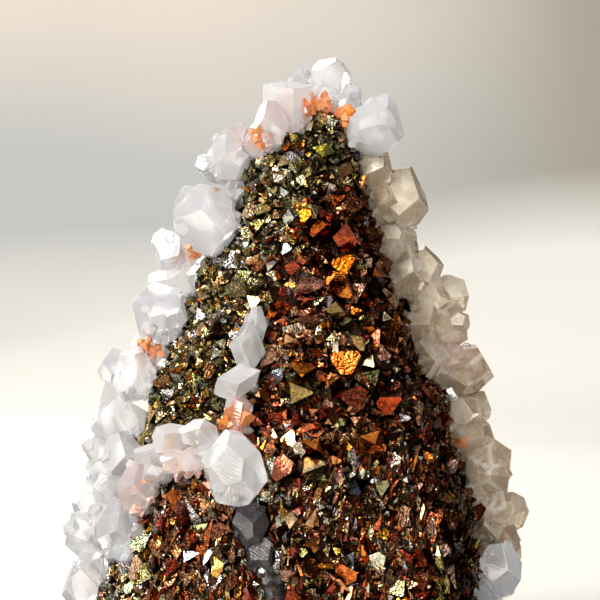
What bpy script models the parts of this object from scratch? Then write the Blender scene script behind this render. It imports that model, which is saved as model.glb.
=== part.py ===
# Calcite with pyrite: a spire of crusted pyrite with glassy calcite crystals along its ridges.
# Lengths are in millimetres while the shapes are made; each finished mesh is scaled to metres.
# +Z is up, the front faces -Y, and the flat cut that the specimen rests on lies at z = 0.

import math
import random

import bmesh
import bpy
from mathutils import Matrix, Vector, noise
from mathutils.bvhtree import BVHTree

# Driving dimensions
METRES_PER_MM = 0.001
SEED = 42                 # fixes every random choice below
GAP = 0.3                 # clearance between a calcite and the pocket it sits in
CUT_DEPTH = 3.0           # how far the matrix is modelled below the flat cut
VOXEL = 4.8               # size of the cells that the matrix skin is made of
LUMP_SIZE = 7.0           # spacing of the swellings on the matrix
LUMP_HEIGHT = 1.1         # how far the swellings stand out
JITTER = 0.35             # how far a corner of the skin strays sideways
CRUST_MIN = 0.35          # lowest pyrite crystal point above the skin
CRUST_MAX = 1.5           # highest pyrite crystal point above the skin
GRAIN_MIN = 2.0           # smallest single pyrite crystal
GRAIN_MAX = 3.6           # largest single pyrite crystal
LOOSE_GRAINS = 4          # single pyrite crystals strewn over the matrix
UNTANGLE_ROUNDS = 12      # passes of smoothing where the skin would cross itself
BACK_FACE = 1.1           # distance of the flat back of a plain calcite, its faces being at 1
SMALLEST_BODY = 6.0       # cubic mm; smaller chips of calcite are dropped

# The matrix is a bundle of pinnacles, each an elliptical horn:
# centre of the foot, half widths of the foot, tip, and fullness (higher is blunter).
PINNACLES = {
    "spire": ((-0.5, 2.0), (14.5, 13.0), (1.5, 3.0, 60.5), 2.2),
    "summit_knob": ((2.0, 1.0), (7.2, 6.5), (2.6, 2.5, 68.5), 6.0),
    "front_ridge": ((0.5, -10.5), (8.5, 6.5), (1.3, -3.5, 52.0), 2.0),
    "right_ridge": ((12.0, -8.5), (6.5, 6.0), (8.5, -2.0, 40.0), 2.0),
    "left_ridge": ((-17.5, 1.0), (7.0, 8.0), (-2.0, 1.0, 61.0), 2.6),
    "left_lobe": ((-11.0, -12.0), (6.2, 6.5), (-11.0, -10.5, 22.0), 3.2),
    "left_corner": ((-17.8, -6.5), (4.6, 6.0), (-17.8, -5.5, 11.5), 3.0),
    "lobe_shoulder": ((-6.5, -12.5), (4.5, 5.0), (-7.0, -12.5, 20.5), 4.0),
    "rear_right_rim": ((18.5, 11.0), (5.0, 5.5), (7.0, 8.0, 58.0), 2.2),
    "right_toe": ((14.5, -1.0), (4.2, 5.5), (14.5, -1.0, 21.5), 3.4),
    "rear_lobe": ((-4.0, 11.0), (12.0, 7.5), (-2.0, 7.0, 46.0), 2.4),
}

# One calcite crystal per row, in groups that have grown together:
# x, y, z of its middle, width, height, turn, lean and spin of its axis in degrees, habit.
CALCITES = {
    "calcite_summit": [
        (-1.3, -0.5, 60.1, 5.7, 6.1, 8, 24, 90, "cube"),
        (-3.1, -2.2, 58.1, 4.0, 5.2, -25, 10, 35, "block"),
        (-4.6, -0.6, 56.4, 3.4, 3.9, -30, 0, 20, "block"),
        (-3.3, 2.2, 59.7, 3.4, 3.2, -30, 20, 0, "plain"),
        (3.3, 3.4, 63.4, 4.7, 5.1, 15, 40, 20, "ball"),
        (0.2, 3.8, 63.4, 2.4, 3.0, 0, 40, 0, "plain"),
        (5.5, 2.5, 61.4, 3.0, 3.6, 20, 20, 40, "plain"),
        (4.0, 2.0, 60.8, 3.1, 3.3, 10, 10, 75, "plain"),
        (1.6, 2.7, 60.7, 7.4, 4.8, 0, 0, 10, "plain"),
        (5.0, 1.0, 59.0, 2.4, 2.8, 10, 0, 30, "plain"),
        (8.1, 0.0, 58.1, 6.8, 6.5, 20, 8, 12, "hex"),
        (0.8, 5.6, 61.6, 4.6, 4.8, 170, 30, 90, "block"),
        (4.9, 5.4, 60.2, 4.8, 4.6, 150, 10, 30, "block"),
        (-2.2, 4.8, 59.4, 4.0, 3.8, 215, 15, 60, "plain"),
    ],
    "calcite_left_ridge": [
        (-7.1, 2.2, 57.1, 3.6, 3.8, -30, 30, 0, "plain"),
        (-8.0, 0.5, 54.5, 5.2, 5.2, -10, 5, 30, "hex"),
        (-9.9, 2.0, 53.9, 3.8, 3.8, -50, 10, 10, "plain"),
        (-6.7, 1.5, 50.8, 2.9, 4.0, 0, 0, 30, "plain"),
        (-10.1, -1.0, 47.8, 7.5, 8.2, -8, 5, 15, "hex"),
        (-12.4, 2.5, 50.1, 3.8, 3.6, -40, 30, 50, "plain"),
        (-14.2, 1.0, 44.4, 4.4, 5.0, 25, -10, 20, "block"),
        (-12.0, 0.5, 43.7, 3.0, 4.4, 10, 0, 60, "plain"),
        (-14.1, 0.8, 40.6, 5.1, 5.0, 0, 20, 0, "plain"),
        (-15.2, -0.5, 37.4, 6.2, 7.1, -15, -5, 75, "block"),
        (-17.1, 0.5, 33.8, 3.5, 3.4, -10, 0, 30, "plain"),
        (-15.5, 0.0, 33.0, 2.7, 3.7, 15, -10, 50, "plain"),
        (-18.2, -1.0, 30.7, 5.0, 6.0, 5, -8, 40, "hex"),
        (-20.6, 1.0, 31.6, 3.8, 4.8, -40, 20, 20, "plain"),
        (-20.5, 2.0, 28.6, 3.8, 4.0, -60, -20, 10, "plain"),
        (-19.3, -0.5, 26.0, 5.0, 5.0, -10, 10, 0, "block"),
        (-21.4, 0.5, 25.8, 3.5, 4.2, -30, 0, 30, "block"),
    ],
    "calcite_left_foot": [
        (-19.3, -3.0, 22.2, 4.7, 5.3, 10, 5, 45, "block"),
        (-22.3, 1.0, 22.3, 3.6, 4.0, -50, 10, 10, "plain"),
        (-22.0, 0.0, 19.6, 4.1, 4.7, -30, 10, 70, "plain"),
        (-23.1, -1.0, 17.0, 3.8, 5.3, -35, 0, 0, "round"),
        (-20.4, -3.5, 18.0, 4.1, 4.3, -10, 20, 30, "round"),
        (-19.1, -6.0, 14.3, 6.0, 7.1, -10, 0, 20, "hex"),
        (-18.1, -7.5, 12.0, 4.3, 3.8, 5, -20, 50, "round"),
        (-21.2, -4.5, 14.7, 4.1, 5.0, -30, 0, 70, "plain"),
        (-23.7, -2.0, 13.6, 3.9, 5.3, -40, 0, 40, "block"),
        (-22.2, -4.0, 10.4, 4.1, 5.3, -20, -10, 0, "plain"),
        (-23.8, -3.0, 7.8, 4.3, 5.7, -40, 0, 20, "block"),
        (-22.8, -4.0, 4.2, 4.1, 5.1, -30, 0, 60, "plain"),
        (-23.4, -1.8, 3.1, 4.5, 5.5, -50, 0, 60, "plain"),
    ],
    "calcite_lobe_rim": [
        (-17.2, -9.0, 19.1, 4.5, 5.8, -10, 5, 20, "hex"),
        (-15.6, -9.8, 21.0, 3.3, 3.7, 0, 20, 50, "plain"),
        (-16.0, -8.5, 22.4, 3.3, 3.1, 0, 30, 0, "plain"),
        (-13.4, -11.0, 24.2, 4.5, 3.5, -20, 25, 80, "block"),
        (-10.6, -11.5, 24.7, 4.4, 3.5, 5, 25, 10, "block"),
        (-13.3, -13.0, 22.1, 2.8, 2.8, 0, 20, 20, "plain"),
        (-11.4, -14.0, 22.2, 3.2, 3.2, 10, 10, 60, "plain"),
        (-9.4, -13.8, 22.8, 3.5, 3.2, 10, 20, 0, "plain"),
        (-6.7, -16.2, 21.5, 7.0, 8.0, 14, -12, 20, "ball"),
    ],
    "calcite_lobe_drip": [
        (-5.2, -14.6, 15.3, 4.1, 5.4, 10, -10, 30, "round"),
        (-4.0, -15.0, 12.1, 3.4, 4.9, 20, 0, 0, "plain"),
        (-3.2, -15.4, 8.6, 3.4, 5.1, 10, 0, 50, "plain"),
        (-3.8, -15.6, 5.1, 3.4, 5.1, 0, 0, 20, "plain"),
    ],
    "calcite_face_chain": [
        (-4.6, -8.5, 36.5, 2.3, 3.7, 0, 0, 30, "plain"),
        (-5.6, -9.0, 33.8, 3.9, 6.4, -15, 10, 0, "tooth"),
        (-6.7, -9.6, 30.3, 5.0, 4.0, 60, 25, 20, "tooth"),
        (-6.6, -10.5, 27.1, 3.4, 4.2, 0, -30, 10, "tooth"),
    ],
    "calcite_right_ridge": [
        (8.3, 2.0, 53.6, 4.7, 5.2, 20, 0, 20, "plain"),
        (11.4, 3.5, 50.3, 5.7, 7.0, 35, 0, 38, "block"),
        (9.1, 2.5, 49.8, 5.1, 5.8, 10, 10, 40, "plain"),
        (10.2, 3.5, 45.6, 4.9, 5.9, 10, 0, 0, "round"),
        (11.7, 5.5, 45.0, 3.8, 4.1, 50, 0, 30, "plain"),
        (14.1, 6.5, 42.6, 4.2, 5.1, 40, 10, 60, "block"),
        (11.6, 4.5, 42.1, 5.3, 5.5, 20, 0, 30, "plain"),
        (17.0, 8.1, 39.6, 4.1, 4.6, 60, 0, 5, "block"),
        (14.5, 6.5, 39.5, 5.6, 5.6, 30, 0, 50, "plain"),
        (16.0, 7.5, 36.3, 5.8, 6.1, 50, 0, 20, "block"),
        (13.3, 5.5, 36.4, 5.1, 5.9, 20, 0, 0, "plain"),
        (14.1, 5.5, 32.7, 5.3, 6.1, 20, -10, 70, "plain"),
        (18.7, 8.3, 31.2, 6.6, 5.8, 50, 0, 40, "block"),
        (16.2, 7.0, 32.0, 4.9, 5.6, 40, 0, 10, "plain"),
    ],
    "calcite_right_foot": [
        (20.1, 9.9, 26.6, 3.7, 4.2, 60, 0, 30, "plain"),
        (18.3, 8.0, 26.3, 4.6, 5.1, 30, 0, 60, "plain"),
        (19.0, 7.5, 23.6, 4.4, 5.1, 40, 0, 10, "block"),
        (20.8, 9.0, 22.7, 3.2, 5.4, 60, 0, 40, "plain"),
        (21.1, 7.5, 19.9, 5.5, 7.8, 40, -10, 0, "block"),
        (20.4, 7.0, 16.7, 3.8, 4.7, 20, 0, 50, "plain"),
        (22.0, 7.0, 15.2, 4.1, 5.1, 40, 0, 20, "plain"),
        (24.1, 8.6, 14.9, 3.6, 4.7, 70, 0, 0, "plain"),
        (21.3, 6.5, 12.4, 3.8, 5.1, 20, 0, 80, "plain"),
        (23.5, 8.0, 11.2, 3.8, 4.9, 50, 0, 30, "plain"),
    ],
    "calcite_right_toe": [
        (22.3, 3.6, 9.0, 5.0, 6.2, 15, 5, 35, "block"),
        (21.0, 4.6, 5.8, 4.2, 4.8, 30, 0, 70, "plain"),
    ],
}

# Clusters on the back, grown from random crystals:
# direction round the spire in degrees (90 is straight back), height, reach across, reach up, count.
REAR_CLUSTERS = {
    "calcite_rear_crest": (100, 50.0, 3.0, 5.0, 5),
    "calcite_rear_left": (160, 36.0, 3.5, 7.0, 5),
    "calcite_rear_right": (62, 30.0, 3.5, 7.0, 6),
    "calcite_rear_middle": (112, 26.0, 4.0, 5.0, 4),
    "calcite_rear_foot": (84, 9.0, 6.0, 4.0, 5),
    "calcite_rear_left_foot": (150, 10.0, 4.5, 4.5, 4),
}
REAR_CRYSTAL_MIN = 3.0
REAR_CRYSTAL_MAX = 6.0
REAR_CLEARANCE = 3.4      # rear crystals keep this far from the groups above
REAR_TRIES = 400          # places tried for each rear cluster
REAR_CLOSEST = 0.45       # least distance between rear crystals, in sizes
REAR_WIDEST = 0.72        # most distance to the nearest one, in sizes
REAR_RISE = 0.15          # how far the middle of a rear crystal stands out, in sizes
GRAIN_RISE = 0.1          # the same for the pyrite crystals on the front
FAR = 60.0                # a distance well outside the specimen

# Single pyrite crystals that stand out of the front: x, z, size, habit, turn, lean.
FRONT_GRAINS = [
    (2.5, 54.8, 2.2, "octahedron", 20, 15),
    (2.6, 51.9, 2.4, "tetrahedron", -20, 30),
    (0.9, 47.8, 2.2, "tetrahedron", 10, 10),
    (1.9, 45.8, 2.3, "tetrahedron", -30, 50),
    (4.7, 45.3, 2.8, "octahedron", 15, 5),
    (4.7, 42.7, 2.4, "octahedron", 30, 20),
    (4.8, 40.1, 2.6, "tetrahedron", 5, 60),
    (1.1, 40.6, 2.5, "octahedron", -10, 0),
    (6.8, 37.1, 2.4, "tetrahedron", 20, 35),
    (4.8, 32.8, 2.6, "octahedron", 0, 20),
    (-0.2, 30.4, 4.2, "octahedron", -15, 0),
    (9.4, 28.3, 2.4, "tetrahedron", 10, 45),
    (1.1, 23.9, 2.6, "octahedron", 0, 15),
    (1.2, 21.0, 3.2, "tetrahedron", -10, 70),
    (-1.6, 21.0, 2.2, "tetrahedron", -20, 20),
    (7.3, 24.0, 2.6, "octahedron", 15, 30),
    (5.8, 18.8, 2.8, "octahedron", 10, -10),
]


def clearScene():
    for thing in list(bpy.data.objects):
        bpy.data.objects.remove(thing)


def makeMaterial(name, colour, roughness, metallic, transmission=0.0, ior=1.5):
    material = bpy.data.materials.new(name)
    material.use_nodes = True
    shader = material.node_tree.nodes["Principled BSDF"]
    shader.inputs["Base Color"].default_value = (*colour, 1.0)
    shader.inputs["Roughness"].default_value = roughness
    shader.inputs["Metallic"].default_value = metallic
    shader.inputs["Transmission Weight"].default_value = transmission
    shader.inputs["IOR"].default_value = ior
    return material


def makeObject(name, shape, material=None):
    """Turns a bmesh into an object and frees the bmesh."""
    mesh = bpy.data.meshes.new(name)
    shape.to_mesh(mesh)
    shape.free()
    thing = bpy.data.objects.new(name, mesh)
    bpy.context.scene.collection.objects.link(thing)
    if material:
        mesh.materials.append(material)
    return thing


def applyModifiers(thing):
    """Replaces the object's mesh by what its modifiers make of it."""
    graph = bpy.context.evaluated_depsgraph_get()
    made = bpy.data.meshes.new_from_object(thing.evaluated_get(graph))
    thing.modifiers.clear()
    thing.data = made


def combine(target, operation, other):
    """Boolean of two objects; the other one is used up."""
    step = target.modifiers.new(operation, "BOOLEAN")
    step.operation = operation
    step.solver = "EXACT"
    step.use_self = True
    step.object = other
    applyModifiers(target)
    bpy.data.objects.remove(other)


# Crystal forms: each is a list of outward face normals with their distances from the middle

def polar(lean, turn):
    """Unit vector at an angle from the crystal's axis (z) and a direction round it."""
    a = math.radians(lean)
    b = math.radians(turn)
    return Vector((math.sin(a) * math.cos(b), math.sin(a) * math.sin(b), math.cos(a)))


def rhombFaces(lean, distance, twist=0):
    faces = []
    for k in range(3):
        normal = polar(lean, twist + 120 * k)
        faces.append((normal, distance))
        faces.append((-normal, distance))
    return faces


def prismFaces(distance, twist, step=60):
    return [(polar(90, twist + step * k), distance) for k in range(360 // step)]


def calciteFaces(habit, dice):
    """Faces of one calcite crystal, each shifted a little in or out."""
    if habit == "cube":
        faces = rhombFaces(54.7, 1.0)
    elif habit == "block":
        faces = rhombFaces(46, 1.0) + prismFaces(1.18, 0)
    elif habit == "hex":
        faces = rhombFaces(42, 1.0) + prismFaces(0.98, 0)
    elif habit == "tooth":
        faces = rhombFaces(68, 0.62) + rhombFaces(40, 1.25, 60)
    elif habit == "round":
        faces = rhombFaces(44, 1.0) + rhombFaces(66, 0.95, 60)
    elif habit == "ball":
        faces = rhombFaces(40, 1.0) + rhombFaces(64, 1.0, 60)
        faces += prismFaces(0.98, 0) + prismFaces(1.04, 30, 120)
    else:
        faces = [face for face in rhombFaces(48, 1.0) if face[0].z > 0] + prismFaces(1.2, 0)
        faces.append((Vector((0, 0, -1)), BACK_FACE))
    return [(normal, distance * dice.uniform(0.9, 1.1)) for normal, distance in faces]


def pyriteFaces(habit):
    signs = [(a, b, c) for a in (-1, 1) for b in (-1, 1) for c in (-1, 1)]
    faces = []
    for sign in signs:
        if habit == "octahedron" or sign[0] * sign[1] * sign[2] > 0:
            faces.append((Vector(sign).normalized(), 0.58))
    return faces


def axisFrame(turn, lean, spin):
    """Rotation that points the crystal's axis at the front, turned to +X and leant up."""
    facing = Matrix.Rotation(math.radians(90), 3, "X")
    tilt = Matrix.Rotation(math.radians(-lean), 3, "X")
    swing = Matrix.Rotation(math.radians(turn), 3, "Z")
    roll = Matrix.Rotation(math.radians(spin), 3, "Z")
    return swing @ tilt @ facing @ roll


def clipSolid(faces, reach):
    """Closed convex solid that the faces bound, cut from a large cube."""
    solid = bmesh.new()
    bmesh.ops.create_cube(solid, size=2 * reach)
    for normal, distance in faces:
        everything = solid.verts[:] + solid.edges[:] + solid.faces[:]
        cut = bmesh.ops.bisect_plane(solid, geom=everything, dist=1e-5, plane_co=normal * distance,
                                     plane_no=normal, clear_outer=True)
        rim = [edge for edge in cut["geom_cut"] if isinstance(edge, bmesh.types.BMEdge) and edge.is_boundary]
        if rim:
            bmesh.ops.contextual_create(solid, geom=rim)
    bmesh.ops.recalc_face_normals(solid, faces=solid.faces)
    return solid


def stretchFaces(faces, factors):
    """The same faces after the solid is stretched along X, Y and Z."""
    stretched = []
    for normal, distance in faces:
        bent = Vector([normal[i] / factors[i] for i in range(3)])
        stretched.append((bent.normalized(), distance / bent.length))
    return stretched


class Crystal:
    """A convex crystal: its middle and the faces round it, in millimetres."""

    def __init__(self, middle, faces):
        self.middle = Vector(middle)
        self.faces = faces
        self.reach = 4 * max(distance for _, distance in faces)

    def solid(self, grow=0.0):
        grown = [(normal, distance + grow) for normal, distance in self.faces]
        shape = clipSolid(grown, self.reach)
        bmesh.ops.translate(shape, vec=self.middle, verts=shape.verts)
        return shape

    def holds(self, point, margin=0.0):
        offset = point - self.middle
        return all(offset.dot(normal) < distance + margin for normal, distance in self.faces)


def sizedCrystal(middle, width, height, turn, lean, spin, faces):
    """A crystal turned to its axis, then stretched to its width and height as seen from the front."""
    frame = axisFrame(turn, lean, spin)
    turned = [((frame @ normal).normalized(), distance) for normal, distance in faces]
    trial = clipSolid(turned, 8)
    spans = []
    for axis in range(3):
        places = [vert.co[axis] for vert in trial.verts]
        spans.append(max(places) - min(places))
    trial.free()
    depth = (width + height) / 2
    factors = (width / spans[0], depth / spans[1], height / spans[2])
    return Crystal(middle, stretchFaces(turned, factors))


# The pyrite matrix

def horn(foot, radii, tip, fullness, rings=16, sides=32):
    """Closed elliptical horn from below the cut up to its tip."""
    shape = bmesh.new()
    stack = []
    top = tip[2]
    for ring in range(rings):
        height = -CUT_DEPTH + (top + CUT_DEPTH) * math.sin(math.pi / 2 * ring / rings)
        rise = max(height, 0.0) / top
        girth = 1 - rise ** fullness
        x = foot[0] + (tip[0] - foot[0]) * rise
        y = foot[1] + (tip[1] - foot[1]) * rise
        row = []
        for side in range(sides):
            angle = 2 * math.pi * side / sides
            place = (x + radii[0] * girth * math.cos(angle), y + radii[1] * girth * math.sin(angle), height)
            row.append(shape.verts.new(place))
        stack.append(row)
    for lower, upper in zip(stack, stack[1:]):
        for side in range(sides):
            after = (side + 1) % sides
            shape.faces.new((lower[side], lower[after], upper[after], upper[side]))
    shape.faces.new(reversed(stack[0]))
    point = shape.verts.new(tip)
    for side in range(sides):
        shape.faces.new((stack[-1][side], stack[-1][(side + 1) % sides], point))
    return shape


def matrixSkin():
    """All pinnacles melted into one skin of even cells."""
    bundle = bmesh.new()
    for foot, radii, tip, fullness in PINNACLES.values():
        one = horn(foot, radii, tip, fullness)
        mesh = bpy.data.meshes.new("horn")
        one.to_mesh(mesh)
        one.free()
        bundle.from_mesh(mesh)
    skin = makeObject("skin", bundle)
    melt = skin.modifiers.new("melt", "REMESH")
    melt.mode = "VOXEL"
    melt.voxel_size = VOXEL
    applyModifiers(skin)
    return skin


def untangle(shape):
    """Smooths the few places where the skin runs through itself."""
    shape.faces.ensure_lookup_table()
    for _ in range(UNTANGLE_ROUNDS):
        tree = BVHTree.FromBMesh(shape)
        tangled = set()
        for one, other in tree.overlap(tree):
            corners = set(shape.faces[one].verts)
            others = set(shape.faces[other].verts)
            if not corners & others:
                tangled |= corners | others
        if not tangled:
            return
        bmesh.ops.smooth_vert(shape, verts=list(tangled), factor=0.5,
                              use_axis_x=True, use_axis_y=True, use_axis_z=True)


def crustSkin(skin, crystals, dice):
    """Swells the skin into lumps and raises each of its cells to a crystal point."""
    shape = bmesh.new()
    shape.from_mesh(skin.data)
    shape.normal_update()
    for vert in shape.verts:
        swelling = noise.noise(vert.co / LUMP_SIZE)
        stray = Vector([dice.uniform(-JITTER, JITTER) for _ in range(3)])
        vert.co += vert.normal * swelling * LUMP_HEIGHT + stray
    shape.normal_update()
    bare = []
    for face in shape.faces:
        middle = face.calc_center_median()
        covered = any(crystal.holds(middle, GAP) for crystal in crystals)
        if middle.z > 0.2 and not covered:
            bare.append(face)
    raised = bmesh.ops.poke(shape, faces=bare)
    for vert in raised["verts"]:
        sideways = Vector([dice.uniform(-JITTER, JITTER) for _ in range(3)])
        vert.co += vert.normal * dice.uniform(CRUST_MIN, CRUST_MAX) + sideways
    bpy.data.objects.remove(skin)
    bmesh.ops.triangulate(shape, faces=shape.faces)
    untangle(shape)
    return makeObject("pyrite_matrix", shape)


def skinTree(thing):
    shape = bmesh.new()
    shape.from_mesh(thing.data)
    tree = BVHTree.FromBMesh(shape)
    shape.free()
    return tree


def pyriteGrains(tree, crystals, dice):
    """Single pyrite crystals: the ones that show on the front, then others strewn all round."""
    grains = []
    for x, z, size, habit, turn, lean in FRONT_GRAINS:
        hit, normal, _, _ = tree.ray_cast(Vector((x, -FAR, z)), Vector((0, 1, 0)))
        if hit is not None:
            middle = hit + normal * size * GRAIN_RISE
            spin = dice.uniform(0, 90)
            grains.append(sizedCrystal(middle, size, size, turn, lean, spin, pyriteFaces(habit)))
    while len(grains) < len(FRONT_GRAINS) + LOOSE_GRAINS:
        angle = dice.uniform(0, 2 * math.pi)
        height = dice.uniform(3.0, 52.0)
        outward = Vector((math.cos(angle), math.sin(angle), 0))
        hit, _, _, _ = tree.ray_cast(Vector((1, 1, height)) + outward * FAR, -outward)
        size = dice.uniform(GRAIN_MIN, GRAIN_MAX)
        near = hit is None or any(crystal.holds(hit, size * 0.5) for crystal in crystals)
        if near:
            continue
        habit = dice.choice(("octahedron", "tetrahedron"))
        faces = pyriteFaces(habit)
        turn = math.degrees(angle) + 90 + dice.uniform(-30, 30)
        lean = dice.uniform(-20, 60)
        grains.append(sizedCrystal(hit, size, size, turn, lean, dice.uniform(0, 90), faces))
    return grains


# The calcite groups

def listedCrystals(dice):
    groups = {}
    for name, rows in CALCITES.items():
        groups[name] = []
        for x, y, z, width, height, turn, lean, spin, habit in rows:
            faces = calciteFaces(habit, dice)
            groups[name].append(sizedCrystal((x, y, z), width, height, turn, lean, spin, faces))
    return groups


def rearCrystals(tree, taken, dice):
    """Random clusters on the back, each crystal half sunk in the matrix."""
    groups = {}
    for name, (around, height, across, up, count) in REAR_CLUSTERS.items():
        cluster = []
        tries = 0
        while len(cluster) < count and tries < REAR_TRIES:
            tries += 1
            angle = math.radians(around)
            outward = Vector((math.cos(angle), math.sin(angle), 0))
            sideways = Vector((-outward.y, outward.x, 0))
            start = Vector((0, 2, height)) + sideways * dice.uniform(-across, across)
            start.z += dice.uniform(-up, up)
            hit, _, _, _ = tree.ray_cast(start + outward * FAR, -outward)
            size = dice.uniform(REAR_CRYSTAL_MIN, REAR_CRYSTAL_MAX)
            if hit is None or hit.z < size * 0.75:
                continue
            if any(crystal.holds(hit, REAR_CLEARANCE) for crystal in taken):
                continue
            gaps = [(hit - other.middle).length for other in cluster]
            if gaps and not size * REAR_CLOSEST < min(gaps) < size * REAR_WIDEST:
                continue
            turn = around + 90 + dice.uniform(-30, 30)
            faces = calciteFaces(dice.choice(("block", "hex", "plain")), dice)
            middle = hit + outward * size * REAR_RISE
            cluster.append(sizedCrystal(middle, size, size * dice.uniform(0.9, 1.2), turn,
                                        dice.uniform(-20, 30), dice.uniform(0, 120), faces))
        groups[name] = cluster
    return groups


def gathered(name, crystals, grow=0.0):
    """All crystals in one object, still overlapping."""
    heap = bmesh.new()
    for crystal in crystals:
        one = crystal.solid(grow)
        mesh = bpy.data.meshes.new("one")
        one.to_mesh(mesh)
        one.free()
        heap.from_mesh(mesh)
    return makeObject(name, heap)


def growTogether(name, crystals, material):
    """One closed solid out of crystals that overlap."""
    whole = makeObject(name, crystals[0].solid(), material)
    combine(whole, "UNION", gathered("others", crystals[1:]))
    return whole


def openPockets(target, crystals):
    """Cuts room for the crystals, with a gap all round."""
    if crystals:
        combine(target, "DIFFERENCE", gathered("pockets", crystals, GAP))


def cutFlat(target):
    """Takes away what lies below z = 0."""
    block = bmesh.new()
    bmesh.ops.create_cube(block, size=120)
    bmesh.ops.translate(block, vec=(0, 0, -60), verts=block.verts)
    combine(target, "DIFFERENCE", makeObject("ground", block))


def looseBodies(shape):
    """Sets of vertices that hang together, largest first."""
    left = set(shape.verts)
    bodies = []
    while left:
        body = set()
        front = [next(iter(left))]
        while front:
            vert = front.pop()
            if vert not in body:
                body.add(vert)
                front.extend(edge.other_vert(vert) for edge in vert.link_edges)
        left -= body
        bodies.append(body)
    return sorted(bodies, key=len, reverse=True)


def partBodies(thing):
    """Gives each body of the object its own object, apart from the smallest chips."""
    whole = bmesh.new()
    whole.from_mesh(thing.data)
    count = len(looseBodies(whole))
    whole.free()
    parted = []
    for index in range(count):
        shape = bmesh.new()
        shape.from_mesh(thing.data)
        bodies = looseBodies(shape)
        bodies.sort(key=lambda body: min(tuple(vert.co) for vert in body))
        others = [vert for body in bodies[:index] + bodies[index + 1:] for vert in body]
        bmesh.ops.delete(shape, geom=others, context="VERTS")
        if shape.calc_volume() < SMALLEST_BODY:
            shape.free()
            continue
        parted.append(makeObject(thing.name, shape, thing.data.materials[0]))
    name = thing.name
    bpy.data.objects.remove(thing)
    for number, piece in enumerate(parted, 1):
        piece.name = f"{name}_{number}" if len(parted) > 1 else name
    return parted


def finish(thing):
    """Makes triangles and scales the mesh to metres."""
    shape = bmesh.new()
    shape.from_mesh(thing.data)
    bmesh.ops.triangulate(shape, faces=shape.faces)
    bmesh.ops.scale(shape, vec=(METRES_PER_MM,) * 3, verts=shape.verts)
    shape.to_mesh(thing.data)
    shape.free()


def build():
    clearScene()
    dice = random.Random(SEED)
    pyrite = makeMaterial("pyrite", (0.36, 0.2, 0.08), 0.32, 1.0)
    calcite = makeMaterial("calcite", (0.93, 0.93, 0.92), 0.12, 0.0, 0.6, 1.6)

    skin = matrixSkin()
    groups = listedCrystals(dice)
    listed = [crystal for cluster in groups.values() for crystal in cluster]
    groups.update(rearCrystals(skinTree(skin), listed, dice))
    crystals = [crystal for cluster in groups.values() for crystal in cluster]

    matrix = crustSkin(skin, crystals, dice)
    matrix.data.materials.append(pyrite)
    combine(matrix, "UNION", gathered("grains", pyriteGrains(skinTree(matrix), crystals, dice)))
    cutFlat(matrix)
    openPockets(matrix, crystals)
    finish(max(partBodies(matrix), key=lambda piece: len(piece.data.vertices)))

    earlier = []
    for name, cluster in groups.items():
        whole = growTogether(name, cluster, calcite)
        openPockets(whole, earlier)
        for piece in partBodies(whole):
            finish(piece)
        earlier.extend(cluster)


build()
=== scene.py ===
import math
import random

import bpy
import bmesh
import numpy as np
from mathutils import Matrix, Vector
from mathutils.bvhtree import BVHTree


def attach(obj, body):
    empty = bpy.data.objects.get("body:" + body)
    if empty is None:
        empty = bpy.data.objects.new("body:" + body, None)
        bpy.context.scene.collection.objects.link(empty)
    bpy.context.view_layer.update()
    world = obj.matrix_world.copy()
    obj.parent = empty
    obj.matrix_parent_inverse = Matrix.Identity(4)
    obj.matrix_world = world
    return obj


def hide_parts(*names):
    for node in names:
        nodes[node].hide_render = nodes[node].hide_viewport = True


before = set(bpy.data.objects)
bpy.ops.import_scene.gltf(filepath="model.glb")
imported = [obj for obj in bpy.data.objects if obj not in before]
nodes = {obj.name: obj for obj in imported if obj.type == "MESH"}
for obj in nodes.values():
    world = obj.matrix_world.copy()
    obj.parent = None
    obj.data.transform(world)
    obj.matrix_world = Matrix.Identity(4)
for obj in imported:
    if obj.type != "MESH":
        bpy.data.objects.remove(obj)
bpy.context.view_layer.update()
mm = 0.001
print("frame loaded:", len(nodes), "nodes")

# The photograph's view: one pixel is 0.11 mm on the upright plane through the origin
view = {
    "pixels": 600,
    "perPixel": 0.11 * mm,
    "distance": 280 * mm,
    "height": 39 * mm,
    "sensor": 36.0,
}
cameraPlace = Vector((0, -view["distance"], view["height"]))


def makeCamera():
    data = bpy.data.cameras.new("camera")
    seen = view["pixels"] * view["perPixel"]
    data.sensor_width = view["sensor"]
    data.lens = view["sensor"] * view["distance"] / seen
    data.clip_start = 10 * mm
    data.clip_end = 10
    camera = bpy.data.objects.new("camera", data)
    bpy.context.scene.collection.objects.link(camera)
    camera.location = cameraPlace
    camera.rotation_euler = (math.radians(90), 0, 0)
    bpy.context.scene.camera = camera


def photoRay(px, py):
    half = view["pixels"] / 2
    across = (px - half) * view["perPixel"]
    up = (half - py) * view["perPixel"]
    return Vector((across, view["distance"], up)).normalized()


makeCamera()


# Shapes of the frame's nodes, as search trees
def mergedShape(name):
    shape = bmesh.new()
    shape.from_mesh(nodes[name].data)
    bmesh.ops.remove_doubles(shape, verts=shape.verts, dist=0.001 * mm)
    shape.normal_update()
    return shape


def treeOf(names):
    heap = bmesh.new()
    for name in names:
        heap.from_mesh(nodes[name].data)
    tree = BVHTree.FromBMesh(heap)
    heap.free()
    return tree


calciteNames = sorted(name for name in nodes if name.startswith("calcite"))
matrixTree = treeOf(["pyrite_matrix"])
calciteTree = treeOf(calciteNames)
everythingTree = treeOf(["pyrite_matrix"] + calciteNames)


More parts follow.
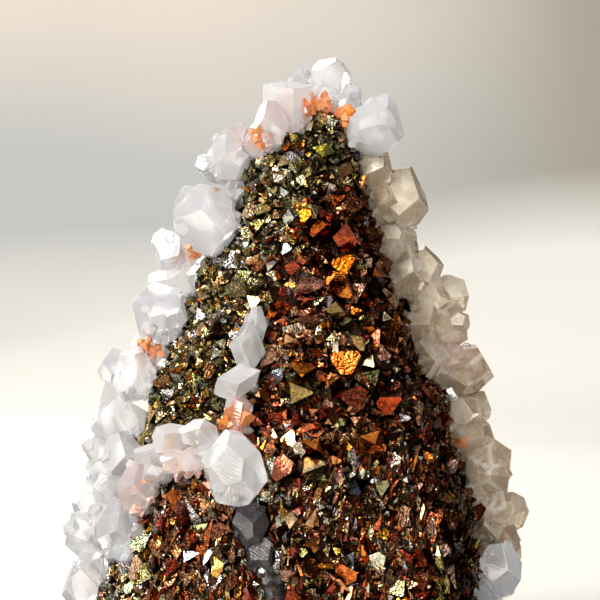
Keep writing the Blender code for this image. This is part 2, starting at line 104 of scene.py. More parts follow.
# Node helpers
class Wiring:

    def __init__(self, tree):
        self.tree = tree

    def add(self, kind, values=None, **settings):
        node = self.tree.nodes.new(kind)
        for name, value in settings.items():
            setattr(node, name, value)
        for name, value in (values or {}).items():
            if isinstance(value, bpy.types.NodeSocket):
                self.tree.links.new(value, node.inputs[name])
            else:
                node.inputs[name].default_value = value
        return node

    def mix(self, factor, first, second, blend="MIX"):
        node = self.add("ShaderNodeMix", data_type="RGBA", blend_type=blend)
        for socket, value in zip((node.inputs[0], node.inputs[6], node.inputs[7]), (factor, first, second)):
            if isinstance(value, bpy.types.NodeSocket):
                self.tree.links.new(value, socket)
            else:
                socket.default_value = value
        return node.outputs[2]

    def math(self, operation, first, second=0.0, clamp=False):
        node = self.add("ShaderNodeMath", operation=operation, use_clamp=clamp)
        for socket, value in zip(node.inputs, (first, second)):
            if isinstance(value, bpy.types.NodeSocket):
                self.tree.links.new(value, socket)
            else:
                socket.default_value = value
        return node.outputs[0]

    def ramp(self, factor, low, high, start=0.0, end=1.0):
        node = self.add("ShaderNodeMapRange", {"Value": factor, "From Min": low, "From Max": high,
                                                "To Min": start, "To Max": end})
        return node.outputs[0]


def newMaterial(name):
    material = bpy.data.materials.new(name)
    material.use_nodes = True
    tree = material.node_tree
    return material, Wiring(tree), tree.nodes["Principled BSDF"]


def newGroup(name, inputs, outputs):
    group = bpy.data.node_groups.new(name, "ShaderNodeTree")
    for label, kind, value in inputs:
        socket = group.interface.new_socket(label, in_out="INPUT", socket_type=kind)
        if value is not None:
            socket.default_value = value
    for label, kind in outputs:
        group.interface.new_socket(label, in_out="OUTPUT", socket_type=kind)
    wires = Wiring(group)
    return group, wires, wires.add("NodeGroupInput"), wires.add("NodeGroupOutput")


def rgba(colour):
    return (*colour, 1.0)


# A colour as it shows on a screen, 0 to 255, in the linear values that materials take
def shown(red, green, blue):
    return tuple((c / 255 / 12.92 if c < 10.3 else ((c / 255 + 0.055) / 1.055) ** 2.4) for c in (red, green, blue))


# Fine unevenness of a crystal face: shallow hills, growth lines and clouds
def faceWearGroup():
    group, wires, given, out = newGroup(
        "faceWear",
        [("Hill Scale", "NodeSocketFloat", 300.0), ("Line Scale", "NodeSocketFloat", 900.0)],
        [("Height", "NodeSocketFloat"), ("Cloud", "NodeSocketFloat")])
    place = wires.add("ShaderNodeTexCoord").outputs["Object"]
    hills = wires.add("ShaderNodeTexNoise", {"Vector": place, "Scale": given.outputs["Hill Scale"],
                                             "Detail": 3.0, "Roughness": 0.6})
    lines = wires.add("ShaderNodeTexWave", {"Vector": place, "Scale": given.outputs["Line Scale"],
                                            "Distortion": 6.0, "Detail": 2.0}, bands_direction="DIAGONAL")
    cloud = wires.add("ShaderNodeTexNoise", {"Vector": place, "Scale": given.outputs["Hill Scale"],
                                             "Detail": 5.0, "Roughness": 0.7})
    both = wires.math("ADD", wires.math("MULTIPLY", hills.outputs[0], 0.75),
                      wires.math("MULTIPLY", lines.outputs["Fac"], 0.25))
    group.links.new(both, out.inputs["Height"])
    group.links.new(cloud.outputs[0], out.inputs["Cloud"])
    return group


# A skin of tiny pyramids, for pyrite faces that are themselves crusted
def druseGroup():
    group, wires, given, out = newGroup(
        "druse", [("Scale", "NodeSocketFloat", 4000.0)],
        [("Height", "NodeSocketFloat"), ("Shade", "NodeSocketFloat")])
    place = wires.add("ShaderNodeTexCoord").outputs["Object"]
    cells = wires.add("ShaderNodeTexVoronoi", {"Vector": place, "Scale": given.outputs["Scale"]},
                      distance="MANHATTAN")
    group.links.new(wires.math("SUBTRACT", 1.0, cells.outputs["Distance"]), out.inputs["Height"])
    shade = wires.add("ShaderNodeSeparateColor", {"Color": cells.outputs["Color"]})
    group.links.new(shade.outputs[0], out.inputs["Shade"])
    return group


faceWear = faceWearGroup()
druse = druseGroup()


# Pyrite: thousands of small crystals on the matrix, each face with its own tint and polish
pyriteLook = {
    "smooth": 0.07,          # roughness of a polished face
    "dull": 0.26,            # roughness of a crusted one
    "shadeReach": 1.1 * mm,
    "shadeDark": 0.06,      # painted shade: what is left of the colour deep between the crystals
    "druseScale": 3600.0,    # tiny pyramids per metre
    "druseDepth": 0.12 * mm,
    "lineDepth": 0.05 * mm,
}
pyriteTints = {
    "gold": [shown(190, 172, 122), shown(168, 154, 108), shown(224, 210, 168), shown(134, 124, 92),
             shown(178, 138, 96), shown(160, 158, 146), shown(200, 174, 104)],
    "red": [shown(184, 98, 62), shown(146, 68, 46), shown(208, 124, 78), shown(126, 62, 46),
            shown(218, 150, 108), shown(166, 110, 84)],
    "brown": [shown(164, 118, 86), shown(192, 146, 108), shown(126, 92, 72), shown(212, 168, 130)],
    "orange": [shown(238, 136, 50), shown(232, 150, 72), shown(226, 110, 40)],
    "pale": [shown(240, 224, 194), shown(228, 226, 224), shown(240, 200, 172), shown(236, 222, 150)],
    "steel": [shown(134, 140, 154), shown(152, 142, 150), shown(90, 94, 106)],
}


def pyriteMaterial():
    material, wires, shader = newMaterial("pyrite")
    tree = material.node_tree
    tint = wires.add("ShaderNodeAttribute", attribute_name="tint")
    polish = wires.add("ShaderNodeAttribute", attribute_name="polish").outputs["Fac"]
    wear = wires.add("ShaderNodeGroup", {"Hill Scale": 1500.0, "Line Scale": 2400.0}, node_tree=faceWear)
    skin = wires.add("ShaderNodeGroup", {"Scale": pyriteLook["druseScale"]}, node_tree=druse)
    shade = wires.ramp(wear.outputs["Cloud"], 0.35, 0.62, 0.35, 1.15)
    speckle = wires.ramp(skin.outputs["Shade"], 0.0, 1.0, 0.45, 1.45)
    crusted = wires.math("MULTIPLY", shade, speckle)
    # Painted shade: an occlusion lookup darkens the colour in the hollows between the crystals
    occlusion = wires.add("ShaderNodeAmbientOcclusion", {"Distance": pyriteLook["shadeReach"]}, samples=6)
    paintedShade = wires.ramp(occlusion.outputs["AO"], 0.25, 0.80, pyriteLook["shadeDark"], 1.0)
    toneAndShade = wires.add("ShaderNodeMix", {0: polish, 2: crusted, 3: shade}, data_type="FLOAT").outputs[0]
    toneAndShade = wires.math("MULTIPLY", toneAndShade, paintedShade)
    tree.links.new(wires.mix(1.0, tint.outputs["Color"], toneAndShade, "MULTIPLY"), shader.inputs["Base Color"])
    rough = wires.ramp(polish, 0.0, 1.0, pyriteLook["dull"], pyriteLook["smooth"])
    tree.links.new(rough, shader.inputs["Roughness"])
    shader.inputs["Metallic"].default_value = 1.0
    relief = wires.math("MULTIPLY", skin.outputs["Height"], wires.math("SUBTRACT", 1.0, polish, clamp=True))
    crust = wires.add("ShaderNodeBump", {"Strength": 0.9, "Distance": pyriteLook["druseDepth"],
                                         "Height": relief})
    lines = wires.add("ShaderNodeBump", {"Strength": 0.6, "Distance": pyriteLook["lineDepth"],
                                         "Height": wear.outputs["Height"], "Normal": crust.outputs[0]})
    tree.links.new(lines.outputs[0], shader.inputs["Normal"])
    return material


# A convex crystal cut from a block by planes, each a normal and a distance,
# and brought to one unit across
def cutForm(planes):
    shape = bmesh.new()
    bmesh.ops.create_cube(shape, size=6)
    for normal, distance in planes:
        everything = shape.verts[:] + shape.edges[:] + shape.faces[:]
        cut = bmesh.ops.bisect_plane(shape, geom=everything, dist=1e-5, plane_co=normal * distance,
                                     plane_no=normal, clear_outer=True)
        rim = [edge for edge in cut["geom_cut"] if isinstance(edge, bmesh.types.BMEdge) and edge.is_boundary]
        if rim:
            bmesh.ops.contextual_create(shape, geom=rim)
    bmesh.ops.recalc_face_normals(shape, faces=shape.faces)
    shape.verts.index_update()
    spots = np.array([tuple(vert.co) for vert in shape.verts])
    faces = [tuple(vert.index for vert in face.verts) for face in shape.faces]
    faces.sort(key=lambda face: -len(face))
    shape.free()
    span = (spots.max(axis=0) - spots.min(axis=0)).max()
    return spots / span, faces


def tilted(lean, turn):
    a = math.radians(lean)
    b = math.radians(turn)
    return Vector((math.sin(a) * math.cos(b), math.sin(a) * math.sin(b), math.cos(a)))


# Pyrite grows here in octahedra, tetrahedra with or without cut corners, and splinters;
# calcite in stout prisms with three-sided caps
def unitForms():
    dice = random.Random(2)
    corners = [Vector((a, b, c)).normalized() for a in (-1, 1) for b in (-1, 1) for c in (-1, 1)]
    four = [corner for corner in corners if corner.x * corner.y * corner.z > 0]
    made = {
        "octahedron": cutForm([(corner, 0.6) for corner in corners]),
        "tetrahedron": cutForm([(corner, 0.45) for corner in four]),
        "splinter": cutForm([(tilted(35 + 25 * (k % 2), 90 * k), 0.25 + 0.1 * k) for k in range(4)]
                            + [(tilted(130 + 20 * (k % 2), 120 * k + 30), 0.5) for k in range(3)]),
    }
    for index in range(6):
        faces = [(corner, 0.6 * dice.uniform(0.75, 1.3)) for corner in corners]
        faces += [(-corner, 0.85 * dice.uniform(0.9, 1.2)) for corner in four]
        made[f"lump{index}"] = cutForm(faces)
        blunt = [(corner, 0.42 * dice.uniform(0.8, 1.25)) for corner in four]
        blunt += [(-corner, 0.95 * dice.uniform(0.8, 1.1)) for corner in four]
        made[f"blunt{index}"] = cutForm(blunt)
    for index in range(5):
        caps = [(tilted(46, 120 * k), dice.uniform(0.85, 1.1)) for k in range(3)]
        caps += [(-tilted(46, 120 * k), dice.uniform(0.85, 1.1)) for k in range(3)]
        sides = [(tilted(90, 60 * k), dice.uniform(0.9, 1.2)) for k in range(6)]
        made[f"calcite{index}"] = cutForm(caps + sides)
    return made


forms = unitForms()


def randomTurn(dice, normal, freedom):
    stray = Vector([dice.gauss(0, freedom) for _ in range(3)])
    up = (normal + stray).normalized()
    base = up.to_track_quat("Z", "Y").to_matrix()
    return base @ Matrix.Rotation(dice.uniform(0, 2 * math.pi), 3, "Z")


# Turn that points a form's first face in the wanted direction
def facingTurn(form, wanted, spin):
    spots, faces = forms[form]
    a, b, c = (Vector(spots[index]) for index in faces[0][:3])
    normal = (b - a).cross(c - a).normalized()
    return Matrix.Rotation(math.radians(spin), 3, wanted) @ normal.rotation_difference(wanted).to_matrix()


# Crystals end at the flat cut that the specimen stands on
flatCut = 0.02 * mm


# Collects many small crystals into one mesh with a tint and a polish on every face
class Heap:
    def __init__(self):
        self.verts = []
        self.faces = []
        self.tints = []
        self.polish = []
        self.count = 0

    def add(self, form, place, turn, scale, tint, polish, dice, spread=0.25, drift=0.1):
        verts, faces = forms[form]
        moved = (verts * np.array(scale)) @ np.array(turn).T + np.array(place)
        moved[:, 2] = np.maximum(moved[:, 2], flatCut)
        self.verts.append(moved)
        for face in faces:
            self.faces.append(tuple(corner + self.count for corner in face))
            light = 1 + dice.uniform(-spread, spread)
            warm = 1 + dice.uniform(-drift, drift)
            self.tints.append((tint[0] * light, tint[1] * light * warm, tint[2] * light / warm, 1.0))
            self.polish.append(min(1.0, max(0.0, polish + dice.uniform(-0.25, 0.25))))
        self.count += len(verts)

    def piece(self, name, material):
        mesh = bpy.data.meshes.new(name)
        mesh.from_pydata(np.concatenate(self.verts).tolist(), [], self.faces)
        giveFaces(mesh, self.tints, self.polish)
        mesh.materials.append(material)
        thing = bpy.data.objects.new(name, mesh)
        bpy.context.scene.collection.objects.link(thing)
        print(name, "has", len(self.faces), "faces")
        return thing


def giveFaces(mesh, tints, polish):
    tint = mesh.attributes.new("tint", "FLOAT_COLOR", "FACE")
    tint.data.foreach_set("color", np.array(tints, np.float32).ravel())
    shine = mesh.attributes.new("polish", "FLOAT", "FACE")
    shine.data.foreach_set("value", np.array(polish, np.float32))


pyrite = pyriteMaterial()

# Where the crust is gold and fine, and where it is red and coarse. On the front the border is
# the x (mm) at a height (mm), with gold to its left; the spots are gold too: x, height, radius.
# From shadeFrom (x at a height), over shadeWidth (mm), the crust is painted darker towards the right flank:
# painted shade on the side turned from the light.
crust = {
    "seed": 11,
    "border": [(0, -30.0), (20, -24.0), (25, -5.0), (28, -4.4), (36, -4.2), (40, -3.3), (46, -1.6),
               (50.5, 1.1), (53, 5.0), (60, 12.0)],
    "shadeFrom": [(0, 12.0), (14, 11.5), (20, 12.0), (30, 9.5), (40, 6.5), (50, 4.2), (60, 2.5)],
    "shadeWidth": 4.0,
    "deepestShade": 0.28,
    "bright": 1.4,
    "lowBright": 1.85,       # the same among the blades
    "rearBright": 1.1,
    "tintCap": 0.9,
    "goldSpots": [(3.8, 35.7, 1.8), (-0.3, 29.6, 2.2), (4.9, 53.3, 2.0), (17.5, 17.0, 2.2)],
    "goldSize": (0.5, 1.5),
    "redSize": (0.5, 1.5),
    "largeSize": (1.5, 2.8),
    "goldPerArea": 2.9,
    "redPerArea": 2.9,
    "rearPerArea": 2.3,
    "largeShare": 0.09,
    "bladesBelow": 24.0,     # height (mm) below which the red crystals are upright blades
    "clearance": 0.35 * mm,
    "heroRoom": 0.55,
    "sink": 0.04,
}


def along(marks, z):
    for (z0, x0), (z1, x1) in zip(marks, marks[1:]):
        if z0 <= z <= z1:
            return x0 + (x1 - x0) * (z - z0) / (z1 - z0)
    return marks[-1][1]


# How likely a crystal here is gold
def goldShare(place):
    x, y, z = (c / mm for c in place)
    if y > 6:
        return 0.45 + 0.35 * math.sin(x * 0.35 + z * 0.22)
    share = 1 / (1 + math.exp((x - along(crust["border"], z)) / 0.7))
    for spotX, spotZ, radius in crust["goldSpots"]:
        if math.hypot(x - spotX, z - spotZ) < radius:
            share = max(share, 0.75)
    if x < -15 and z < 11:
        return 0.7
    return max(share, 0.08)


# How bright the crust's colour is here, with painted shade towards the right flank that gives way to the rear
# level behind
def brightness(place):
    x, y, z = (c / mm for c in place)
    past = (x - along(crust["shadeFrom"], z)) / crust["shadeWidth"]
    level = crust["lowBright"] if z < crust["bladesBelow"] else crust["bright"]
    level *= 1 - (1 - crust["deepestShade"]) * min(1.0, max(0.0, past))
    behind = min(1.0, max(0.0, (y - 2) / 4))
    return level * (1 - behind) + crust["rearBright"] * behind


def pickTint(dice, isGold, isLow):
    chance = dice.random() - (0.10 if isLow else 0.0)
    if chance < 0.09:
        return dice.choice(pyriteTints["pale"])
    if chance < 0.12:
        return dice.choice(pyriteTints["steel"])
    if chance < (0.16 if isGold else 0.24):
        return dice.choice(pyriteTints["orange"])
    if isGold:
        return dice.choice(pyriteTints["gold"])
    return dice.choice(pyriteTints["red"] if dice.random() < 0.65 else pyriteTints["brown"])


# Upright blades lean out of the rock, tip up or tip down
def bladeTurn(dice, normal):
    rise = Vector((0, 0, 1)) if dice.random() < 0.6 else Vector((0, 0, -1))
    stray = Vector([dice.gauss(0, 0.28) for _ in range(3)])
    base = (normal * 0.45 + rise + stray).normalized().to_track_quat("Z", "Y").to_matrix()
    return base @ Matrix.Rotation(dice.uniform(0, 2 * math.pi), 3, "Z")


# One crystal of the crust: its form, its turn and its three sizes
def pickCrystal(dice, normal, place, isGold):
    low, high = crust["goldSize"] if isGold else crust["redSize"]
    isLarge = dice.random() < crust["largeShare"] * (0.5 if isGold else 1.0)
    if isLarge:
        low, high = crust["largeSize"]
    size = dice.triangular(low, high, low + (high - low) * 0.25) * mm
    if not isGold and place.z < crust["bladesBelow"] * mm and dice.random() < 0.75:
        scale = [size * dice.uniform(0.4, 0.75), size * dice.uniform(0.4, 0.75), size * dice.uniform(1.4, 2.4)]
        form = dice.choice(("octahedron", "splinter", "lump2", "blunt3"))
        return form, bladeTurn(dice, normal), scale, size * 0.8
    scale = [size * dice.uniform(0.75, 1.2) for _ in range(2)] + [size * dice.uniform(0.8, 1.3)]
    form = dice.choice(("octahedron", "tetrahedron", "tetrahedron", "splinter", "blunt0", "lump1"))
    if isLarge:
        form = dice.choice(("lump", "blunt")) + str(dice.randrange(6))
    return form, randomTurn(dice, normal, 0.5), scale, size


def scatterCrust(heroes):
    dice = random.Random(crust["seed"])
    shape = mergedShape("pyrite_matrix")
    bmesh.ops.triangulate(shape, faces=shape.faces)
    front = Heap()
    rear = Heap()
    for face in shape.faces:
        area = face.calc_area() / mm / mm
        normal = face.normal
        middle = face.calc_center_median()
        if normal.z < -0.9 and middle.z < 0.2 * mm:
            continue
        corners = [vert.co for vert in face.verts]
        isRear = middle.y > 6 * mm
        gold = goldShare(middle)
        frontRate = gold * crust["goldPerArea"] + (1 - gold) * crust["redPerArea"]
        wanted = area * (crust["rearPerArea"] if isRear else frontRate)
        count = int(wanted) + (dice.random() < wanted % 1)
        for _ in range(count):
            a = math.sqrt(dice.random())
            b = dice.random()
            place = corners[0] * (1 - a) + corners[1] * a * (1 - b) + corners[2] * a * b
            if place.z < 0.1 * mm or calciteTree.find_nearest(place, crust["clearance"])[0] is not None:
                continue
            if any((place - spot).length < size * crust["heroRoom"] for spot, size in heroes):
                continue
            isGold = dice.random() < goldShare(place)
            form, turn, scale, size = pickCrystal(dice, normal, place, isGold)
            isLow = place.z < crust["bladesBelow"] * mm
            bright = brightness(place)
            tint = [min(crust["tintCap"], value * bright) for value in pickTint(dice, isGold, isLow)]
            heap = rear if isRear else front
            heap.add(form, place + normal * size * crust["sink"], turn, scale, tint,
                     dice.uniform(0.3, 1.0), dice)
    shape.free()
    return front, rear


# The matrix itself, seen only in the gaps between the small crystals, its colour darkened to 0.3 as painted shade
# in those gaps
def baseCrust():
    dice = random.Random(5)
    shape = mergedShape("pyrite_matrix")
    mesh = bpy.data.meshes.new("pyriteBase")
    shape.to_mesh(mesh)
    tints = []
    for face in shape.faces:
        isGold = dice.random() < goldShare(face.calc_center_median())
        colour = dice.choice(pyriteTints["gold"] if isGold else pyriteTints["brown"])
        # Painted shade: the gaps get 0.3 of the crust's colour
        bright = 0.3 * brightness(face.calc_center_median())
        tints.append((colour[0] * bright, colour[1] * bright, colour[2] * bright, 1.0))
    giveFaces(mesh, tints, [0.0] * len(tints))
    shape.free()
    mesh.materials.append(pyrite)
    thing = bpy.data.objects.new("pyriteBase", mesh)
    bpy.context.scene.collection.objects.link(thing)
    return thing


# Crystals that catch the eye, where the photograph shows them:
# pixel across, pixel down, size (mm), form, tint, which light it mirrors, spin
windowDirections = {
    "key": Vector((-0.66, -0.45, 0.60)).normalized(),
    "top": Vector((0.0, 0.10, 0.99)).normalized(),
    "low": Vector((-0.05, -0.55, -0.83)).normalized(),
    "side": Vector((-0.95, -0.25, 0.12)).normalized(),
}
heroLook = {"scale": 1.05, "rise": 0.02, "polish": 0.9, "spread": 0.4, "keyTone": 0.42}
heroCrystals = [
    (323, 150, 2.3, "lump1", shown(196, 180, 72), "key", 20),
    (309, 139, 1.2, "blunt4", shown(232, 222, 176), "top", 10),
    (345, 170, 2.0, "lump2", shown(136, 108, 70), "low", 0),
    (307, 172, 1.5, "splinter", shown(222, 216, 160), "top", 60),
    (324, 172, 2.2, "lump3", shown(160, 158, 128), "low", 40),
    (285, 192, 2.0, "lump4", shown(206, 206, 200), "side", 0),
    (289, 219, 2.0, "lump5", shown(184, 188, 180), "low", 60),
    (262, 212, 1.6, "blunt5", shown(186, 172, 108), "top", 60),
    (306, 217, 1.4, "blunt0", shown(238, 130, 34), "key", 0),
    (318, 232, 3.0, "splinter", shown(226, 118, 42), "top", 80),
    (328, 226, 2.4, "blunt2", shown(176, 66, 44), "side", 30),
    (345, 240, 3.6, "lump3", shown(170, 82, 54), "low", 15),
    (345, 265, 2.4, "blunt4", shown(242, 124, 24), "key", 0),
    (343, 288, 2.8, "blunt5", shown(214, 124, 46), "side", 75),
    (334, 281, 1.8, "blunt0", shown(190, 98, 40), "key", 60),
    (309, 283, 2.8, "blunt1", shown(160, 144, 144), "low", 45),
    (312, 291, 1.6, "blunt3", shown(238, 228, 222), "key", 45),
    (292, 268, 2.0, "lump2", shown(190, 92, 68), "low", 10),
    (287, 250, 1.2, "blunt1", shown(238, 238, 218), "key", 0),
    (334, 314, 2.6, "lump0", shown(172, 162, 108), "low", 10),
    (330, 303, 1.4, "blunt2", shown(166, 146, 142), "side", 10),
    (345, 326, 2.2, "lump5", shown(186, 174, 118), "top", 70),
    (361, 318, 1.6, "splinter", shown(238, 224, 156), "key", 35),
    (367, 330, 1.7, "blunt4", shown(206, 112, 38), "low", 100),
    (335, 351, 2.0, "blunt5", shown(222, 222, 200), "side", 55),
    (357, 346, 2.6, "splinter", shown(212, 170, 110), "top", 120),
    (371, 363, 2.4, "lump1", shown(222, 210, 158), "key", 45),
    (268, 346, 1.6, "blunt2", shown(220, 196, 88), "top", 15),
    (296, 388, 3.4, "lump1", shown(170, 148, 92), "low", 70),
    (302, 371, 2.2, "blunt4", shown(228, 146, 56), "top", 0),
    (388, 402, 2.4, "blunt5", shown(196, 86, 46), "low", 80),
    (365, 400, 1.6, "lump0", shown(216, 160, 148), "top", 50),
    (340, 397, 2.2, "lump0", shown(150, 74, 56), "low", 50),
    (257, 402, 1.9, "blunt1", shown(228, 146, 96), "top", 40),
    (210, 372, 1.7, "blunt3", shown(226, 160, 98), "key", 90),
    (312, 446, 3.0, "lump1", shown(234, 144, 62), "top", 25),
    (303, 450, 1.8, "blunt1", shown(240, 214, 190), "side", 25),
    (312, 470, 3.2, "lump2", shown(252, 236, 190), "top", 15),
    (284, 470, 2.8, "blunt3", shown(218, 124, 92), "key", 70),
    (369, 442, 3.0, "lump4", shown(230, 134, 54), "top", 50),
    (395, 462, 1.7, "blunt5", shown(252, 238, 216), "key", 5),
    (355, 488, 2.6, "lump0", shown(70, 76, 88), "side", 30),
    (340, 478, 1.2, "blunt0", shown(230, 166, 154), "key", 30),
    (383, 490, 1.5, "blunt2", shown(216, 210, 146), "top", 30),
    (333, 497, 1.5, "blunt4", shown(224, 154, 124), "key", 0),
    (178, 502, 2.3, "blunt2", shown(232, 140, 64), "top", 30),
    (184, 486, 2.2, "lump3", shown(140, 118, 118), "low", 10),
    (204, 500, 1.7, "lump4", shown(240, 168, 96), "top", 95),
    (213, 529, 1.1, "lump5", shown(252, 230, 180), "key", 0),
    (290, 520, 1.8, "lump3", shown(246, 208, 162), "top", 100),
    (312, 550, 2.4, "lump5", shown(226, 166, 104), "top", 10),
    (325, 566, 2.0, "blunt2", shown(236, 152, 62), "top", 100),
    (288, 576, 1.7, "splinter", shown(240, 196, 164), "top", 0),
    (345, 572, 2.4, "blunt3", shown(214, 116, 56), "low", 60),
    (398, 590, 1.9, "blunt4", shown(252, 238, 176), "key", 20),
    (420, 560, 2.2, "blunt4", shown(176, 92, 60), "side", 20),
    (462, 481, 1.9, "lump0", shown(160, 138, 66), "key", 20),
    (466, 468, 1.6, "blunt0", shown(222, 204, 136), "top", 20),
    (462, 546, 2.3, "blunt1", shown(176, 146, 66), "key", 60),
]


def placeHeroes():
    placed = []
    for px, py, size, form, tint, light, spin in heroCrystals:
        ray = photoRay(px, py)
        spot, normal, _, _ = everythingTree.ray_cast(cameraPlace, ray)
        rock, rockNormal, _, _ = matrixTree.ray_cast(cameraPlace, ray)
        if rock is None or (rock - spot).length > 0.5 * mm:
            print("no pyrite at", px, py)
            continue
        toCamera = -ray
        wanted = (toCamera + windowDirections[light]).normalized()
        turn = facingTurn(form, wanted, spin)
        size *= heroLook["scale"] * mm
        if light == "key":
            tint = [value * heroLook["keyTone"] for value in tint]
        placed.append((rock + rockNormal * size * heroLook["rise"], size, form, turn, tint))
    return placed


heroes = placeHeroes()
base = baseCrust()
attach(base, "root")
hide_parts("pyrite_matrix")
frontHeap, rearHeap = scatterCrust([(place, size) for place, size, _, _, _ in heroes])
heroDice = random.Random(8)
for place, size, form, turn, tint in heroes:
    scale = (size, size * heroDice.uniform(0.7, 1.0), size * heroDice.uniform(0.8, 1.25))
    frontHeap.add(form, place, turn, scale, tint, heroLook["polish"], heroDice, heroLook["spread"], 0.04)
for pieceName, heap in (("pyriteFrontCrystals", frontHeap), ("pyriteRearCrystals", rearHeap)):
    crystals = heap.piece(pieceName, pyrite)
    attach(crystals, "root")
print("pyrite done")


# Rusty stains on the calcite: x, y, z (mm), radius (mm)
stainSpots = {
    "left summit": (-4.6, -3.0, 56.9, 1.5),
    "top middle": (2.3, -0.5, 60.0, 1.9),
    "top right": (5.0, 0.0, 59.3, 1.3),
    "left ridge high": (-9.0, -3.5, 51.5, 0.8),
    "left ridge middle": (-12.2, -2.0, 43.6, 1.1),
    "left ridge low": (-15.9, -4.0, 34.0, 1.6),
    "left ridge low 2": (-17.8, -3.0, 34.4, 1.5),
    "chain foot": (-6.9, -11.5, 26.6, 1.9),
    "rim": (-12.0, -14.0, 21.6, 0.9),
    "right foot": (22.6, 6.0, 12.4, 1.0),
    "right ridge foot": (17.6, 5.0, 22.4, 1.6),
    "rear": (3.0, 14.0, 30.0, 2.0),
    "rear foot": (0.0, 18.0, 9.0, 2.0),
}


# Pink tinges, in the same way
blushSpots = {
    "summit block": (-1.3, -3.0, 60.0, 4.2),
    "summit left": (-4.5, -1.5, 57.0, 3.2),
    "top right": (5.4, 0.5, 59.6, 1.8),
    "left ridge top": (-6.9, 1.0, 57.0, 1.8),
    "left ridge inner": (-12.2, -1.5, 43.2, 2.2),
    "left ridge low": (-16.0, -2.5, 32.4, 2.4),
    "rim left": (-17.0, -9.5, 18.6, 3.6),
    "rim middle": (-13.4, -13.0, 21.8, 3.4),
    "chain": (-6.8, -10.5, 26.6, 3.0),
    "right ridge": (17.4, 6.0, 33.0, 2.6),
}


# How much one spot covers, with a ragged edge
def stainSpotGroup():
    group, wires, given, out = newGroup(
        "stainSpot",
        [("Middle", "NodeSocketVector", None), ("Radius", "NodeSocketFloat", 1.0)],
        [("Mask", "NodeSocketFloat")])
    place = wires.add("ShaderNodeTexCoord").outputs["Object"]
    gap = wires.add("ShaderNodeVectorMath", {0: place, 1: given.outputs["Middle"]}, operation="DISTANCE")
    ragged = wires.add("ShaderNodeTexNoise", {"Vector": place, "Scale": 900.0, "Detail": 4.0})
    strayed = wires.math("ADD", wires.math("DIVIDE", gap.outputs["Value"], given.outputs["Radius"]),
                         wires.ramp(ragged.outputs[0], 0.3, 0.7, -0.45, 0.45))
    group.links.new(wires.ramp(strayed, 1.1, 0.5), out.inputs["Mask"])
    return group


# All spots of a list together
def spotsGroup(name, spots, spot):
    group, wires, given, out = newGroup(name, [], [("Mask", "NodeSocketFloat")])
    total = None
    for x, y, z, radius in spots.values():
        one = wires.add("ShaderNodeGroup", {"Middle": (x * mm, y * mm, z * mm), "Radius": radius * mm},
                        node_tree=spot).outputs["Mask"]
        total = one if total is None else wires.math("MAXIMUM", total, one)
    group.links.new(total, out.inputs["Mask"])
    return group


# Each facet of a calcite a little lighter or darker by the way it faces, as painted shade, and thin pale cracks
# inside
def veilsGroup():
    group, wires, given, out = newGroup(
        "veils", [("Crack Scale", "NodeSocketFloat", 260.0)],
        [("FacetShade", "NodeSocketFloat"), ("Crack", "NodeSocketFloat")])
    place = wires.add("ShaderNodeTexCoord").outputs["Object"]
    flat = wires.add("ShaderNodeNewGeometry").outputs["True Normal"]
    tone = wires.add("ShaderNodeTexNoise", {"Vector": flat, "Scale": 2.6, "Detail": 1.0})
    cells = wires.add("ShaderNodeTexVoronoi", {"Vector": place, "Scale": given.outputs["Crack Scale"]},
                      feature="DISTANCE_TO_EDGE")
    some = wires.add("ShaderNodeTexNoise", {"Vector": place, "Scale": 300.0, "Detail": 2.0})
    thin = wires.ramp(cells.outputs["Distance"], 0.10, 0.02)
    group.links.new(wires.ramp(tone.outputs[0], 0.38, 0.64), out.inputs["FacetShade"])
    group.links.new(wires.math("MULTIPLY", thin, wires.ramp(some.outputs[0], 0.42, 0.58)), out.inputs["Crack"])
    return group


stainSpot = stainSpotGroup()
veils = veilsGroup()
rust = spotsGroup("rust", stainSpots, stainSpot)
blush = spotsGroup("blush", blushSpots, stainSpot)

# Calcite: the frame's own crystals, with eased edges and a milky, frosted finish; the eased edges carry painted
# highlights, and a faint emission is painted light on all faces
calciteLook = {
    "edge": 0.20 * mm,
    "weld": 0.001 * mm,
    "flat": math.radians(1.0),
    "ior": 1.6,
    "bumpDepth": 0.07 * mm,
    "rustColour": (0.96, 0.30, 0.05),
    "rustDeep": (0.80, 0.20, 0.03),
    "blushColour": (0.96, 0.70, 0.64),
    "blushAmount": 0.55,
}
# Each kind's glow is painted light, a faint emission that lifts the crystals' shaded sides
calciteKinds = {
    "white": {"colour": (1.0, 1.0, 1.0), "haze": (0.98, 0.98, 0.98), "shade": (0.84, 0.84, 0.87),
              "clear": 0.72, "rough": (0.02, 0.24), "glow": 0.018},
    # warm: a darker, browner copy of the white calcite, painted shade for the crystals on the right ridge and
    # foot, the side turned from the light
    "warm": {"colour": (0.95, 0.87, 0.75), "haze": (0.78, 0.65, 0.49), "shade": (0.50, 0.38, 0.26),
             "clear": 0.5, "rough": (0.08, 0.34), "glow": 0.0},
    # Near-black calcite as painted shadow, for the drip crystals in the shade under the ball
    "shadowDark": {"colour": (0.22, 0.21, 0.21), "haze": (0.10, 0.09, 0.09), "shade": (0.05, 0.045, 0.045),
              "clear": 0.5, "rough": (0.06, 0.30), "glow": 0.0},
}
# The right ridge and foot take the warm kind, painted shade; the drip takes the near-black kind, painted shadow
calciteFinish = {
    "calcite_right_ridge": "warm",
    "calcite_right_foot": "warm",
    "calcite_lobe_drip": "shadowDark",
}


